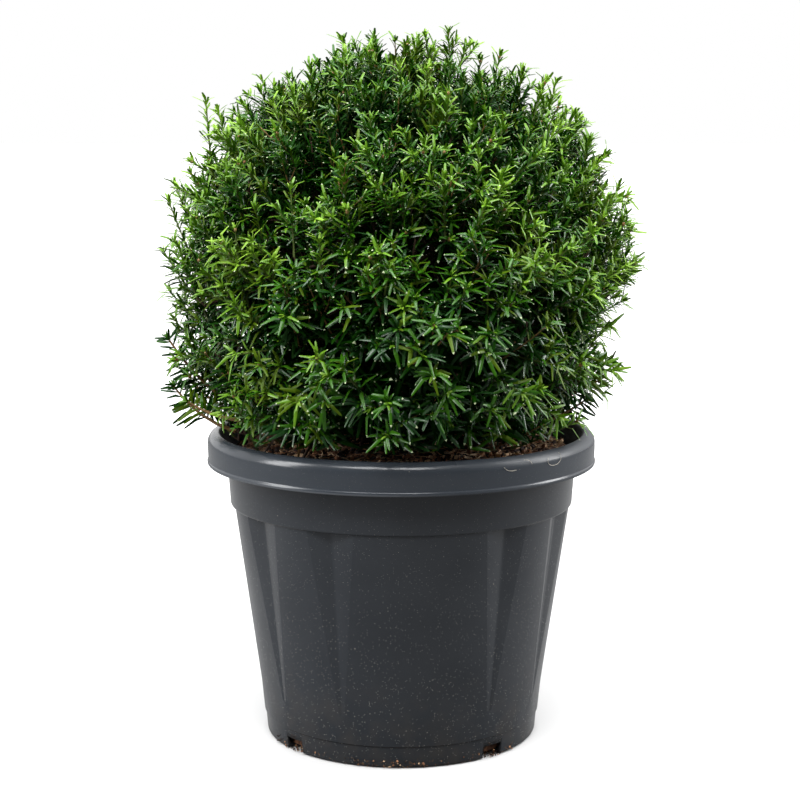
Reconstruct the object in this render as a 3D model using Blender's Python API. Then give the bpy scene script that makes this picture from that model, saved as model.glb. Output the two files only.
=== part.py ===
"""A young English yew clipped to a ball, growing in a black nursery container.

Metres, +Z up. The origin is the middle of the container's flat underside, and -Y is the front.
The plant is a short trunk that carries on as a leader, one bough to each mass of foliage, and
twelve masses that share the ball between them: one on top, a ring of five and a ring of six.
"""

import math
import random

import bmesh
import bpy
from mathutils import Matrix, Quaternion, Vector

UP = Vector((0, 0, 1))
GAP = 0.0003  # between two solids that touch on the real plant

# Container: a turned wall with shallow tapering flutes, a band and a turned-down rim
POT_HEIGHT = 0.222
WALL = 0.0024
BASE_THICKNESS = 0.003
FOOT_RADIUS = 0.0988
FOOT_HEIGHT = 0.015
BODY_FOOT_RADIUS = 0.1009
BODY_TOP_RADIUS = 0.1223
BODY_TOP = 0.169
BAND_FOOT_RADIUS = 0.1239
BAND_TOP_RADIUS = 0.1260
RIM_RADIUS = 0.140
RIM_FOOT = 0.1996
RIM_INNER_RADIUS = 0.1312
SPIN_STEPS = 48
POT_TURN = math.radians(6.5)  # the plain front panel is turned this far to the right

# Flutes: twelve places round the wall, of which the front and the back one are left plain
FLUTE_PITCH = math.radians(30)
FLUTE_HALF_TOP = math.radians(8.2)
FLUTE_HALF_END = math.radians(1.5)
FLUTE_DEPTH = 0.0042
FLUTE_END = 0.036
FLUTE_TOP = BODY_TOP + 0.0016  # inside the wall, where the step to the band lies higher
PLAIN_PLACES = (3, 9)

# Drain notches through the foot of the wall
NOTCHES = 4
NOTCH_WIDTH = 0.0176
NOTCH_HEIGHT = 0.009
NOTCH_REACH = 0.011
FIRST_NOTCH = math.radians(33.7)

# Compost
SOIL_LEVEL = 0.2087
SOIL_EDGE = 0.2075
SOIL_LUMP = 0.0022
STEM_PATCH_RADIUS = 0.026

# Trunk and leader
STEM_FOOT = SOIL_LEVEL + GAP
STEM_FOOT_RADIUS = 0.0165
STEM_RADIUS = 0.0115
STEM_TIP_RADIUS = 0.0042
STEM_SWAY = 0.0035
FLARE_HEIGHT = 0.016
STEM_SIDES = 10
ROOT_LOBES = 5

# Crown: a ball that is fuller below its middle than above
CROWN_CENTRE = Vector((0, 0, 0.350))
CROWN_RADIUS = 0.160
CROWN_RISE = 0.150
CROWN_DROP = 0.155
UPPER_SQUARENESS = 1.9
LOWER_SQUARENESS = 2.9
CORE_SHARE = 0.85
CROWN_FLOOR = SOIL_LEVEL + 0.0085

# Masses of foliage
UPPER_RING = 5
UPPER_ELEVATION = math.radians(31)
UPPER_START = math.radians(-68)
LOWER_RING = 6
LOWER_ELEVATION = math.radians(-21)
LOWER_START = math.radians(-66)
MASS_GAP = 0.0014
INNER_FACE = 0.062
STEM_SOCKET = 0.007  # how far a mass's own stem stands in from its inner face
GATE_DROP = {"crown": 0.0, "upper": 0.010, "lower": 0.028}
MASS_STEM_RADIUS = 0.0028

# Boughs
BOUGH_FOOT_RADIUS = 0.0046
BOUGH_SIDES = 6
BOUGH_END = 0.014
LOWER_BOUGH_FOOT = 0.230
LOWER_BOUGH_STEP = 0.0072
UPPER_BOUGH_FOOT = 0.296
UPPER_BOUGH_STEP = 0.0085

# Shoots: each stands for a spray, as a slim core with whorls of needles
SHOOTS = 150
SHOOT_LENGTH = 0.050
SHOOT_SUNK = 0.009
SHOOT_RADIUS = 0.0026
WHORLS = 3
NEEDLES_IN_WHORL = 4
NEEDLE_LENGTH = 0.025
NEEDLE_THICKNESS = 0.0022
FORK_DEPTH = 0.074
FORK_DROP = 0.009
SHOOT_SEED = 7

BLACK_PLASTIC = ("black_plastic", (0.036, 0.040, 0.045), 0.42)
COMPOST = ("compost", (0.060, 0.030, 0.015), 0.95)
BARK = ("bark", (0.150, 0.072, 0.038), 0.90)
NEEDLES = ("needles", (0.035, 0.105, 0.014), 0.40)


def clear_scene():
    for old in list(bpy.data.objects):
        bpy.data.objects.remove(old)


def material(name, colour, roughness):
    made = bpy.data.materials.get(name) or bpy.data.materials.new(name)
    made.use_nodes = True
    shader = made.node_tree.nodes["Principled BSDF"]
    shader.inputs["Base Color"].default_value = (*colour, 1)
    shader.inputs["Roughness"].default_value = roughness
    shader.inputs["Metallic"].default_value = 0.0
    return made


def object_from(bm, name, finish):
    """The bmesh as a named object, with outward normals, shaded smooth across gentle edges."""
    bmesh.ops.recalc_face_normals(bm, faces=bm.faces)
    mesh = bpy.data.meshes.new(name)
    bm.to_mesh(mesh)
    bm.free()
    mesh.materials.append(material(*finish))
    mesh.shade_smooth()
    mesh.set_sharp_from_angle(angle=math.radians(35))
    obj = bpy.data.objects.new(name, mesh)
    bpy.context.scene.collection.objects.link(obj)
    return obj


def cutter_from(bm, name):
    """A helper solid that only cuts: it is never part of the plant."""
    cutter = object_from(bm, name, BLACK_PLASTIC)
    cutter.hide_render = True
    cutter.display_type = "WIRE"
    return cutter


def cut(obj, cutter):
    boolean = obj.modifiers.new("cut", "BOOLEAN")
    boolean.operation = "DIFFERENCE"
    boolean.object = cutter


def body_radius(z):
    """The wall's outer radius on the cone between the foot and the band."""
    share = (z - FOOT_HEIGHT) / (BODY_TOP - FOOT_HEIGHT)
    return BODY_FOOT_RADIUS + share * (BODY_TOP_RADIUS - BODY_FOOT_RADIUS)


def inside_wall(clearance):
    """(radius, height) down the inside of the wall to the floor, drawn in by clearance."""
    return [
        (BAND_TOP_RADIUS - WALL - clearance, RIM_FOOT),
        (BAND_FOOT_RADIUS - WALL - clearance, FLUTE_TOP + 0.0026 + clearance),
        (BODY_TOP_RADIUS - WALL - clearance, FLUTE_TOP + clearance),
        (body_radius(FLUTE_END) - WALL - clearance, FLUTE_END),
        (BODY_FOOT_RADIUS - WALL - clearance, FOOT_HEIGHT + 0.001),
        (FOOT_RADIUS - 0.7 * WALL - clearance, BASE_THICKNESS + 0.003),
        (FOOT_RADIUS - 1.9 * WALL - clearance, BASE_THICKNESS + clearance),
        (0, BASE_THICKNESS + clearance),
    ]


def pot_outline():
    """(radius, height) from the middle of the underside up the outside, over the rim and in."""
    outside = [
        (0, 0),
        (FOOT_RADIUS - 0.0016, 0),
        (FOOT_RADIUS, 0.0018),
        (FOOT_RADIUS + 0.0012, FOOT_HEIGHT),
        (BODY_FOOT_RADIUS, FOOT_HEIGHT + 0.001),
        (body_radius(FLUTE_END), FLUTE_END),
        (BODY_TOP_RADIUS, BODY_TOP),
        (BAND_FOOT_RADIUS - 0.0007, BODY_TOP + 0.0011),
        (BAND_FOOT_RADIUS, BODY_TOP + 0.0036),
        (BAND_TOP_RADIUS, RIM_FOOT),
    ]
    rim = [
        (BAND_TOP_RADIUS + 0.0008, POT_HEIGHT - 0.0095),
        (RIM_RADIUS - WALL - 0.0006, POT_HEIGHT - 0.0095),
        (RIM_RADIUS - WALL, RIM_FOOT),
        (RIM_RADIUS, RIM_FOOT),
        (RIM_RADIUS, POT_HEIGHT - 0.0075),
        (RIM_RADIUS - 0.0009, POT_HEIGHT - 0.0032),
        (RIM_RADIUS - 0.0032, POT_HEIGHT - 0.0007),
        (RIM_RADIUS - 0.0056, POT_HEIGHT),
        (RIM_INNER_RADIUS + 0.0008, POT_HEIGHT - 0.0006),
        (RIM_INNER_RADIUS, POT_HEIGHT - 0.0028),
        (BAND_TOP_RADIUS - 0.0004, POT_HEIGHT - 0.0115),
    ]
    return outside + rim + inside_wall(0)


def turned(outline):
    """The outline, which starts and ends on the axis, spun to a closed solid of 48 columns."""
    bm = bmesh.new()
    points = [bm.verts.new((radius, 0, z)) for radius, z in outline]
    edges = [bm.edges.new(pair) for pair in zip(points, points[1:])]
    bmesh.ops.spin(
        bm,
        geom=points + edges,
        cent=(0, 0, 0),
        axis=UP,
        angle=math.tau,
        steps=SPIN_STEPS,
        use_merge=True,
    )
    bmesh.ops.remove_doubles(bm, verts=bm.verts, dist=1e-6)
    return bm


def flute_share(radius, z):
    """0 where the wall is plain, rising from the low end of the flutes to 1 at the band."""
    if radius > BODY_TOP_RADIUS + 1e-6 or z > FLUTE_TOP + 2 * GAP:
        return 0.0
    return min(1.0, max(0.0, (z - FLUTE_END) / (BODY_TOP - FLUTE_END)))


def flute_half_width(share, z):
    """Half the angle that a flute takes: widest at the band, and a point low on the wall."""
    if share == 0 and abs(z - FLUTE_END) > 1e-6:
        return math.tau / SPIN_STEPS
    return FLUTE_HALF_END + share * (FLUTE_HALF_TOP - FLUTE_HALF_END)


def flute(bm):
    """Draws four columns in every thirty degrees to the edges and valley of a flute."""
    column = math.tau / SPIN_STEPS
    in_pitch = round(FLUTE_PITCH / column)
    for v in bm.verts:
        radius = math.hypot(v.co.x, v.co.y)
        if radius < 0.05:
            continue
        index = round(math.atan2(v.co.y, v.co.x) / column) % SPIN_STEPS
        place, step = divmod(index + 1, in_pitch)
        step -= 1
        place %= SPIN_STEPS // in_pitch
        if place in PLAIN_PLACES:
            continue
        share = flute_share(radius, v.co.z)
        angle = place * FLUTE_PITCH + step * column
        if abs(step) == 1:
            angle = place * FLUTE_PITCH + step * flute_half_width(share, v.co.z)
        if step == 0:
            radius -= FLUTE_DEPTH * share
        v.co.x = radius * math.cos(angle)
        v.co.y = radius * math.sin(angle)


def make_pot():
    bm = turned(pot_outline())
    flute(bm)
    pot = object_from(bm, "pot", BLACK_PLASTIC)
    notches = bmesh.new()
    middle = FOOT_RADIUS - NOTCH_REACH / 2 + 0.003
    size = Matrix.Diagonal((NOTCH_REACH + 0.006, NOTCH_WIDTH, 2 * NOTCH_HEIGHT, 1))
    for place in range(NOTCHES):
        turn = Matrix.Rotation(FIRST_NOTCH + place * math.tau / NOTCHES, 4, "Z")
        bmesh.ops.create_cube(notches, matrix=turn @ Matrix.Translation((middle, 0, 0)) @ size)
    cutter = cutter_from(notches, "notch_cutter")
    cut(pot, cutter)
    for obj in (pot, cutter):
        obj.rotation_euler.z = POT_TURN


def make_soil():
    """Compost that fills the wall to just under the rim, with a rough top."""
    rise = SOIL_LEVEL + SOIL_LUMP
    top = [
        (0, SOIL_LEVEL),
        (STEM_PATCH_RADIUS, SOIL_LEVEL),
        (0.058, rise),
        (0.096, rise),
        (BAND_TOP_RADIUS - WALL - 0.0012, SOIL_EDGE),
    ]
    bm = turned(top + inside_wall(GAP))
    flute(bm)
    lumps = random.Random(SHOOT_SEED)
    for v in bm.verts:
        if abs(v.co.z - rise) < 1e-6:
            v.co.z += lumps.uniform(-SOIL_LUMP, SOIL_LUMP)
    soil = object_from(bm, "soil", COMPOST)
    soil.rotation_euler.z = POT_TURN


def limb(path, radii, sides):
    """A closed tapering limb along path, with one radius for each point. Its faces come in rows
    of one for each side, from foot to tip, and then the two ends."""
    bm = bmesh.new()
    rings = []
    last = len(path) - 1
    before, turn = UP, Quaternion()
    for i, (centre, radius) in enumerate(zip(path, radii)):
        ahead = path[min(i + 1, last)] - path[max(i - 1, 0)]
        turn = before.rotation_difference(ahead) @ turn
        before = ahead
        ring = []
        for j in range(sides):
            angle = j * math.tau / sides
            out = turn @ Vector((math.cos(angle), math.sin(angle), 0))
            ring.append(bm.verts.new(centre + radius * out))
        rings.append(ring)
    for low, high in zip(rings, rings[1:]):
        for j in range(sides):
            k = (j + 1) % sides
            bm.faces.new((low[j], low[k], high[k], high[j]))
    bm.faces.new(reversed(rings[0]))
    bm.faces.new(rings[-1])
    return bm


def reach(direction):
    """How far the ball's outline lies from the crown's centre in a direction."""
    flat = math.hypot(direction.x, direction.y) / CROWN_RADIUS
    if direction.z >= 0:
        squareness, tall = UPPER_SQUARENESS, direction.z / CROWN_RISE
    else:
        squareness, tall = LOWER_SQUARENESS, -direction.z / CROWN_DROP
    return (flat**squareness + tall**squareness) ** (-1 / squareness)


def heading(azimuth, elevation):
    level = math.cos(elevation)
    return Vector((level * math.cos(azimuth), level * math.sin(azimuth), math.sin(elevation)))


def mass_headings():
    """{mass's name: the direction of its middle from the crown's centre}"""
    found = {"crown_top": UP.copy()}
    for i in range(UPPER_RING):
        azimuth = UPPER_START + i * math.tau / UPPER_RING
        found[f"upper_mass_{i + 1}"] = heading(azimuth, UPPER_ELEVATION)
    for i in range(LOWER_RING):
        azimuth = LOWER_START + i * math.tau / LOWER_RING
        found[f"lower_mass_{i + 1}"] = heading(azimuth, LOWER_ELEVATION)
    return found


def walls_of(name, headings):
    """Outward normals of the planes, all through the crown's centre, that part a mass from the
    rest. The space straight below the centre belongs to the trunk."""
    others = [h for other, h in headings.items() if other != name] + [-UP]
    return [(h - headings[name]).normalized() for h in others]


def in_space(point, walls, margin):
    """True if the point keeps to the mass's own space, over the compost and clear of the rim."""
    out = point - CROWN_CENTRE
    if any(out.dot(wall) > -margin - MASS_GAP / 2 for wall in walls):
        return False
    over_rim = point.z > POT_HEIGHT + margin + 0.001
    inside_rim = math.hypot(out.x, out.y) < RIM_INNER_RADIUS - 0.007 - margin
    return point.z > CROWN_FLOOR - 0.004 + margin and (over_rim or inside_rim)


def gate(name, direction):
    """Where a bough hands over to its mass: in front of the inner face, and below its middle."""
    down = direction * direction.z - UP
    drop = down.normalized() * GATE_DROP[name.split("_")[0]] if down.length > 1e-6 else down
    return CROWN_CENTRE + direction * (INNER_FACE - STEM_SOCKET) + drop


def fork(direction):
    """Where the stem of a mass divides, a little way into its core."""
    level = math.hypot(direction.x, direction.y)
    return CROWN_CENTRE + direction * FORK_DEPTH - UP * FORK_DROP * level


def stem_point(z):
    """The middle of the leader at a height: it sways a little on its way up."""
    share = (z - STEM_FOOT) / (leader_top().z - STEM_FOOT)
    sway = STEM_SWAY * math.sin(math.pi * share)
    return Vector((sway * math.cos(4 * share), sway * math.sin(4 * share), z))


def leader_top():
    return gate("crown_top", UP)


def stem_radius(z):
    share = (z - STEM_FOOT) / (leader_top().z - STEM_FOOT)
    flare = max(0.0, 1 - (z - STEM_FOOT) / FLARE_HEIGHT) ** 2
    straight = STEM_RADIUS + share * (STEM_TIP_RADIUS - STEM_RADIUS)
    return straight + flare * (STEM_FOOT_RADIUS - STEM_RADIUS)


def stem_solid(swollen):
    """The trunk and leader, thicker by swollen, with the root flare drawn out in lobes."""
    top = leader_top().z
    heights = [STEM_FOOT + FLARE_HEIGHT * i / 3 for i in range(4)]
    heights += [heights[-1] + (top - heights[-1]) * i / 6 for i in range(1, 7)]
    path = [stem_point(z) for z in heights]
    path[0] = Vector((0, 0, STEM_FOOT))
    bm = limb(path, [stem_radius(z) + swollen for z in heights], STEM_SIDES)
    for v in bm.verts:
        low = max(0.0, 1 - (v.co.z - STEM_FOOT) / FLARE_HEIGHT)
        lobe = 1 + 0.13 * low * math.cos(ROOT_LOBES * math.atan2(v.co.y, v.co.x))
        v.co.x *= lobe
        v.co.y *= lobe
        if low > 0.98:
            v.co.z = STEM_FOOT
    return bm


def bough_foot(name):
    """The point of the leader that a bough leaves from. Neighbours leave at unlike heights."""
    ring, number = name.rsplit("_mass_", 1)
    place = int(number) - 1
    if ring == "lower":
        slot = (place * 2 + place // 3) % LOWER_RING
        return stem_point(LOWER_BOUGH_FOOT + LOWER_BOUGH_STEP * slot)
    slot = place * 2 % UPPER_RING
    return stem_point(UPPER_BOUGH_FOOT + UPPER_BOUGH_STEP * slot)


def make_boughs(headings, leader_cutter):
    for name, direction in headings.items():
        if name == "crown_top":
            continue
        tip = gate(name, direction)
        foot = bough_foot(name)
        foot += (tip - foot).normalized() * 0.6 * BOUGH_FOOT_RADIUS
        before = tip - (fork(direction) - tip).normalized() * BOUGH_END
        path = [foot, foot.lerp(before, 0.5) - UP * 0.002, before, tip]
        slim = (BOUGH_FOOT_RADIUS - MASS_STEM_RADIUS) / 3
        bm = limb(path, [BOUGH_FOOT_RADIUS - slim * i for i in range(4)], BOUGH_SIDES)
        bough = object_from(bm, name.replace("mass", "bough"), BARK)
        cut(bough, leader_cutter)


def make_stem():
    stem = object_from(stem_solid(0), "stem", BARK)
    cutter = cutter_from(stem_solid(GAP), "leader_cutter")
    return stem, cutter


def clip(bm, point, normal):
    """Cuts a convex solid with a plane, drops what lies beyond it and closes the cut."""
    cut_through = bmesh.ops.bisect_plane(
        bm,
        geom=bm.verts[:] + bm.edges[:] + bm.faces[:],
        dist=1e-7,
        plane_co=point,
        plane_no=normal,
        clear_outer=True,
    )
    edges = [g for g in cut_through["geom_cut"] if isinstance(g, bmesh.types.BMEdge)]
    if edges:
        bmesh.ops.holes_fill(bm, edges=edges, sides=0)


def mass_core(direction, walls):
    """The mass's share of a smaller ball: the dense heart that the shoots stand out of."""
    bm = bmesh.new()
    bmesh.ops.create_icosphere(bm, subdivisions=3, radius=1)
    for v in bm.verts:
        out = v.co.normalized()
        v.co = CROWN_CENTRE + out * reach(out) * CORE_SHARE
    for wall in walls:
        clip(bm, CROWN_CENTRE - wall * MASS_GAP / 2, wall)
    clip(bm, CROWN_CENTRE + direction * INNER_FACE, -direction)
    clip(bm, Vector((0, 0, CROWN_FLOOR)), -UP)
    bmesh.ops.remove_doubles(bm, verts=bm.verts, dist=1e-5)
    return bm


def shoot_tips():
    """Seeded points spread evenly over the ball's outline, as (direction, distance)."""
    chance = random.Random(SHOOT_SEED)
    golden = math.pi * (3 - math.sqrt(5))
    for i in range(SHOOTS):
        z = 1 - 2 * (i + 0.5) / SHOOTS
        level = math.sqrt(1 - z * z)
        wander = Vector([chance.uniform(-0.06, 0.06) for _ in range(3)])
        out = Vector((level * math.cos(i * golden), level * math.sin(i * golden), z)) + wander
        out.normalize()
        yield out, reach(out) * chance.uniform(0.985, 1.055)


def shoots_of(name, headings):
    """(base, tip) of each shoot of a mass. They fan out from the fork of the mass's stem, and
    are drawn in where they would leave its space."""
    direction, walls = headings[name], walls_of(name, headings)
    inward = fork(direction)
    for out, distance in shoot_tips():
        if max([-UP, *headings.values()], key=out.dot) != direction:
            continue
        for share in (1.0, 0.95, 0.90):
            tip = CROWN_CENTRE + out * distance * share
            base = tip + (inward - tip).normalized() * SHOOT_LENGTH
            clear = in_space(tip, walls, 0.003) and in_space(base, walls, SHOOT_RADIUS + 0.001)
            if clear:
                yield base, tip
                break


def shoot(base, tip, walls):
    """A slim four-sided core whose whorls of faces are drawn out into needles."""
    along = (tip - base).normalized()
    free = (tip - base).length - SHOOT_SUNK
    stations, radii = [0.0], [0.9 * SHOOT_RADIUS]
    for i in range(WHORLS):
        start = SHOOT_SUNK + free * (0.16 + 0.27 * i)
        stations += [start, start + NEEDLE_THICKNESS]
        radii += [SHOOT_RADIUS * (1 - 0.13 * i)] * 2
    bm = limb([base + along * s for s in stations], radii, NEEDLES_IN_WHORL)
    faces = bm.faces[:]
    for i in range(WHORLS):
        lean = math.radians(56 - 9 * i)
        size = NEEDLE_LENGTH * (1 - 0.12 * i)
        row = (2 * i + 1) * NEEDLES_IN_WHORL
        for face in faces[row : row + NEEDLES_IN_WHORL]:
            root = face.calc_center_median()
            out = root - base - along * (root - base).dot(along)
            point = root + (out.normalized() * math.sin(lean) + along * math.cos(lean)) * size
            if in_space(point, walls, 0.0012):
                draw_out(bm, face, point)
    draw_out(bm, faces[-1], tip)
    return bm


def draw_out(bm, face, point):
    bmesh.ops.poke(bm, faces=[face])["verts"][0].co = point


def union_into(core, parts):
    """Joins the parts to the core in one Boolean union, and removes them."""
    group = bpy.data.collections.new("parts_of_mass")
    bpy.context.scene.collection.children.link(group)
    for part in parts:
        bpy.context.scene.collection.objects.unlink(part)
        group.objects.link(part)
    boolean = core.modifiers.new("join", "BOOLEAN")
    boolean.operation = "UNION"
    boolean.operand_type = "COLLECTION"
    boolean.collection = group
    bpy.context.view_layer.update()
    joined = bpy.data.meshes.new_from_object(
        core.evaluated_get(bpy.context.evaluated_depsgraph_get())
    )
    core.modifiers.remove(boolean)
    core.data = joined
    for part in parts:
        bpy.data.objects.remove(part)
    bpy.data.collections.remove(group)


def make_mass(name, headings):
    direction, walls = headings[name], walls_of(name, headings)
    core = object_from(mass_core(direction, walls), name, NEEDLES)
    start, inside = gate(name, direction), fork(direction)
    start += (inside - start).normalized() * GAP
    own_stem = limb([start, inside], [MASS_STEM_RADIUS] * 2, BOUGH_SIDES)
    parts = [object_from(own_stem, f"{name}_stem", BARK)]
    for i, (base, tip) in enumerate(shoots_of(name, headings)):
        parts.append(object_from(shoot(base, tip, walls), f"{name}_shoot_{i}", NEEDLES))
    union_into(core, parts)


def main():
    clear_scene()
    make_pot()
    make_soil()
    headings = mass_headings()
    _, leader_cutter = make_stem()
    make_boughs(headings, leader_cutter)
    for name in headings:
        make_mass(name, headings)


main()
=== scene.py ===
"""An English yew clipped to a ball, in a black nursery container, dressed for a studio picture."""

import math
import random

import bmesh
import bpy
import numpy as np
from mathutils import Matrix, Quaternion, Vector, noise


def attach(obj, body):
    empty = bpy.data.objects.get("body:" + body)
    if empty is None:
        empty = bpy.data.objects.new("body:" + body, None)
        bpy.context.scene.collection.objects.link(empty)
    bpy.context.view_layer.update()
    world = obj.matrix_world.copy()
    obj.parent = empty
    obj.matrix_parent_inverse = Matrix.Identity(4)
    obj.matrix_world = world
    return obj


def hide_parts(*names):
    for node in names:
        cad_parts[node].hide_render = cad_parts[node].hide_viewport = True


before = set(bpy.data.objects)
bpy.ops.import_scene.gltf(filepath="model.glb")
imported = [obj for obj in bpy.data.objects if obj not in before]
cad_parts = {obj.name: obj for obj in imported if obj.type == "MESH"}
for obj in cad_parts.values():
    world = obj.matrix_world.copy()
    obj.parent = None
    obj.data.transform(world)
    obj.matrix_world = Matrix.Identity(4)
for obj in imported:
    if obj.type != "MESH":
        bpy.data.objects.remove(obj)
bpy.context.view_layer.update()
scene = bpy.context.scene
scene.view_settings.view_transform = "Standard"
scene.view_settings.look = "None"


# The camera looks slightly down on the plant with a long lens, from about the height of the
# foliage's middle. Its place was fitted to the rim, band, foot and flutes of the container.
lens = bpy.data.cameras.new("studio_camera")
lens.sensor_width = 36.0
lens.lens = 83.62
lens.clip_end = 50.0
camera = bpy.data.objects.new("studio_camera", lens)
camera.location = (-0.0009, -1.3313, 0.4451)
camera.rotation_euler = (math.radians(90 - 8.65), 0, 0)
scene.collection.objects.link(camera)
scene.camera = camera


# The studio: a white floor under a bright ceiling, in front of a white backdrop. The side the
# camera stands on is dim, so the black container stays dark in front and pale at its edges.
WHITE = (1, 1, 1)
SOFT_EDGE = "SMOOTHSTEP"
ROOM_DIM = 0.08
ROOM_BRIGHT = 1.22
CEILING = 0.34
FLOOR_HALF = 30.0
FLOOR_DROP = 0.0004
FLOOR_GREY = (0.60, 0.60, 0.60)
FLOOR_GLOW = (0.12, 1.0)
FLOOR_BOUNCE = (0.12, 0.12, 0.12)
FLOOR_SIDES = 0.25
POT_EDGE_ON_FLOOR = (0.096, 0.102)


def wire(tree, node, inputs):
    """Sets a node's inputs: a socket is linked, and anything else is a value. A colour comes as
    three numbers."""
    for name, value in dict(inputs).items():
        socket = node.inputs[name]
        if isinstance(value, bpy.types.NodeSocket):
            tree.links.new(value, socket)
        else:
            socket.default_value = (*value, 1) if socket.type == "RGBA" else value


def add_node(tree, kind, inputs=(), **settings):
    node = tree.nodes.new("ShaderNode" + kind)
    for setting, value in settings.items():
        setattr(node, setting, value)
    wire(tree, node, inputs)
    return node


def ranged(tree, value, low, high, to_low=0.0, to_high=1.0, **settings):
    """The value moved from low..high to another range, and held within it."""
    limits = {"From Min": low, "From Max": high, "To Min": to_low, "To Max": to_high}
    return add_node(tree, "MapRange", {"Value": value, **limits}, **settings).outputs["Result"]


def for_camera(tree, unseen, seen):
    """One shader for what the camera sees, and another for the light that reaches things."""
    ray = add_node(tree, "LightPath").outputs["Is Camera Ray"]
    shaders = {1: unseen.outputs[0], 2: seen.outputs[0]}
    return add_node(tree, "MixShader", {0: ray, **shaders}).outputs[0]


world = bpy.data.worlds.new("studio")
scene.world = world
world.use_nodes = True
tree = world.node_tree
tree.nodes.clear()
way = add_node(tree, "TexCoord").outputs["Generated"]
_, along_y, upward = add_node(tree, "SeparateXYZ", {0: way}).outputs
away = ranged(tree, along_y, -0.80, 0.20, ROOM_DIM, ROOM_BRIGHT, interpolation_type=SOFT_EDGE)
above = ranged(tree, upward, 0.35, 0.90, 0.0, CEILING, interpolation_type=SOFT_EDGE)
brighter = add_node(tree, "Math", {0: away, 1: above}, operation="MAXIMUM").outputs[0]
room = add_node(tree, "Background", {"Color": WHITE, "Strength": brighter})
backdrop = add_node(tree, "Background", {"Color": WHITE})
add_node(tree, "OutputWorld", {"Surface": for_camera(tree, room, backdrop)})


def softbox(name, place, aim, width, height, power):
    lamp = bpy.data.lights.new(name, "AREA")
    lamp.shape = "RECTANGLE"
    lamp.size = width
    lamp.size_y = height
    lamp.energy = power
    held = bpy.data.objects.new(name, lamp)
    held.location = place
    toward = Vector(aim) - Vector(place)
    held.rotation_euler = toward.to_track_quat("-Z", "Y").to_euler()
    scene.collection.objects.link(held)


softbox("front_box", (-0.22, -1.00, 1.55), (0, 0, 0.36), 1.3, 0.6, 23)
softbox("overhead_bank", (0.0, -0.15, 2.1), (0, 0, 0.38), 1.6, 1.3, 42)
softbox("left_box", (-1.6, -0.45, 1.0), (0, 0, 0.3), 0.6, 1.4, 25)
softbox("right_box", (1.6, 0.20, 1.1), (0, 0, 0.3), 0.7, 1.4, 28)


def new_material(name):
    made = bpy.data.materials.new(name)
    made.use_nodes = True
    return made, made.node_tree, made.node_tree.nodes["Principled BSDF"]


def product(tree, first, second):
    return add_node(tree, "Math", {0: first, 1: second}, operation="MULTIPLY").outputs[0]


def paper_finish():
    """White paper that glows where the camera sees it, but not under the pot, and that sends a
    little light up to what stands on it."""
    made, tree, shader = new_material("white_paper")
    place = add_node(tree, "TexCoord").outputs["Object"]
    far = add_node(tree, "VectorMath", {0: place}, operation="LENGTH").outputs["Value"]
    glow = ranged(tree, far, 0.35, 1.40, *FLOOR_GLOW)
    glow = product(tree, glow, ranged(tree, far, *POT_EDGE_ON_FLOOR))
    wire(tree, shader, {"Base Color": FLOOR_GREY, "Roughness": 1.0})
    wire(tree, shader, {"Emission Color": WHITE, "Emission Strength": glow})
    way = add_node(tree, "VectorMath", {0: place}, operation="NORMALIZE").outputs["Vector"]
    along_y = add_node(tree, "SeparateXYZ", {0: way}).outputs["Y"]
    aside = ranged(tree, along_y, -0.85, 0.25, 0.0, FLOOR_SIDES, interpolation_type=SOFT_EDGE)
    bounce = add_node(tree, "BsdfDiffuse", {"Color": FLOOR_BOUNCE}).outputs[0]
    sides = add_node(tree, "Emission", {"Strength": aside}).outputs[0]
    lit = add_node(tree, "AddShader", {0: bounce, 1: sides})
    wire(tree, tree.nodes["Material Output"], {"Surface": for_camera(tree, lit, shader)})
    return made


def smooth_piece(name, mesh, sharp):
    """The piece that a mesh makes, smooth but for edges sharper than so many degrees."""
    mesh.shade_smooth()
    mesh.set_sharp_from_angle(angle=math.radians(sharp))
    piece = bpy.data.objects.new(name, mesh)
    scene.collection.objects.link(piece)
    return piece


def piece_from(bm, name, finish, sharp=40):
    mesh = bpy.data.meshes.new(name)
    bm.to_mesh(mesh)
    bm.free()
    mesh.materials.append(finish)
    return smooth_piece(name, mesh, sharp)


paper = bmesh.new()
drop = Matrix.Translation((0, 0, -FLOOR_DROP))
bmesh.ops.create_grid(paper, x_segments=1, y_segments=1, size=FLOOR_HALF, matrix=drop)
piece_from(paper, "studio_floor", paper_finish())


# The container is blow-moulded from recycled black plastic: a tapering wall with ten shallow
# flutes, a band above them, a rim turned over and down, and four drain notches in its foot.
BODY_FOOT = 0.0157
BODY_FOOT_RADIUS = 0.1009
BODY_TOP = 0.1690
BODY_TOP_RADIUS = 0.1223
FLUTE_END = 0.036
FLUTE_DEPTH = 0.0042
FLUTE_HALF_TOP = math.radians(8.2)
FLUTE_HALF_END = math.radians(1.2)
VALLEY_ROUND = 0.10
PRESSED_FROM = 0.030
PRESSED_TO = 0.1725
UNDERSIDE_RADIUS = 0.06
PLACES = 12
PITCH = math.radians(30)
STEPS_IN_PITCH = 40
STEPS_IN_HALF_FLUTE = 12
PLAIN_PLACES = (3, 9)
POT_TURN = math.radians(6.5)
POT_HEIGHT = 0.222
RIM_INNER = 0.1312
NOTCH_TURNS = [math.radians(33.7 + 90 * i) for i in range(4)]
NOTCH_BLOCK = (0.017, 0.0176, 0.0182)
NOTCH_OUT = 0.0963
NOTCH_ROUND = 0.0014

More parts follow.
